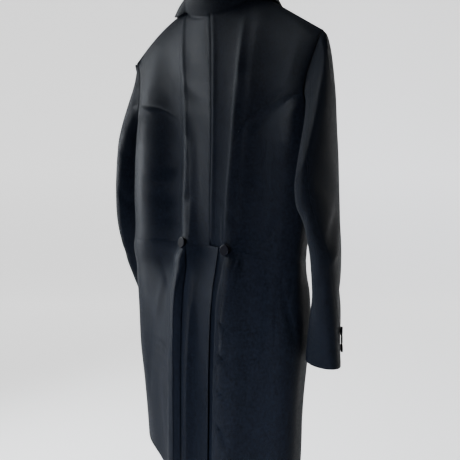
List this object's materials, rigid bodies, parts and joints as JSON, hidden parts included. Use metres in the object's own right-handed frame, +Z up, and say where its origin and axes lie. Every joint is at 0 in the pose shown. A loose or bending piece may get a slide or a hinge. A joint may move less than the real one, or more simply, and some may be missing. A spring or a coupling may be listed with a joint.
{
  "type": "morning coat",
  "caption": "Black wool morning coat with long rounded tails, a cutaway front, peaked lapels and buttoned cuffs, hanging hollow.",
  "frame": {"origin": "the centre of the back neck seam, where a wearer's neck or a hanger would hold the coat", "axes": "+Z up, +X to the wearer's left, +Y to the coat's back"},
  "size_m": [0.573, 0.2289, 1.0008],
  "materials": {
    "button": "polished black",
    "cloth_back_left": "brushed wool, dull with a soft sheen",
    "cloth_back_right": "brushed wool, dull with a soft sheen",
    "cloth_collar": "brushed wool, dull with a soft sheen",
    "cloth_forepart_left": "brushed wool, dull with a soft sheen",
    "cloth_forepart_right": "brushed wool, dull with a soft sheen",
    "cloth_lapel_left": "brushed wool, dull with a soft sheen",
    "cloth_lapel_right": "brushed wool, dull with a soft sheen",
    "cloth_side_body_left": "brushed wool, dull with a soft sheen",
    "cloth_side_body_right": "brushed wool, dull with a soft sheen",
    "cloth_skirt_left": "brushed wool, dull with a soft sheen",
    "cloth_skirt_right": "brushed wool, dull with a soft sheen",
    "cloth_sleeve_left": "brushed wool, dull with a soft sheen",
    "cloth_sleeve_right": "brushed wool, dull with a soft sheen"
  },
  "bodies": {
    "root": {"back_left": "cloth_back_left", "side_body_left": "cloth_side_body_left", "forepart_left": "cloth_forepart_left", "skirt_left": "cloth_skirt_left", "top_sleeve_left": "cloth_sleeve_left", "under_sleeve_left": "cloth_sleeve_left", "lapel_left": "cloth_lapel_left", "back_button_left": "button", "cuff_button_left_1": "button", "cuff_button_left_2": "button", "cuff_button_left_3": "button", "back_right": "cloth_back_right", "side_body_right": "cloth_side_body_right", "forepart_right": "cloth_forepart_right", "skirt_right": "cloth_skirt_right", "top_sleeve_right": "cloth_sleeve_right", "under_sleeve_right": "cloth_sleeve_right", "lapel_right": "cloth_lapel_right", "back_button_right": "button", "cuff_button_right_1": "button", "cuff_button_right_2": "button", "cuff_button_right_3": "button", "collar": "cloth_collar", "front_button": "button"}
  },
  "joints": []
}
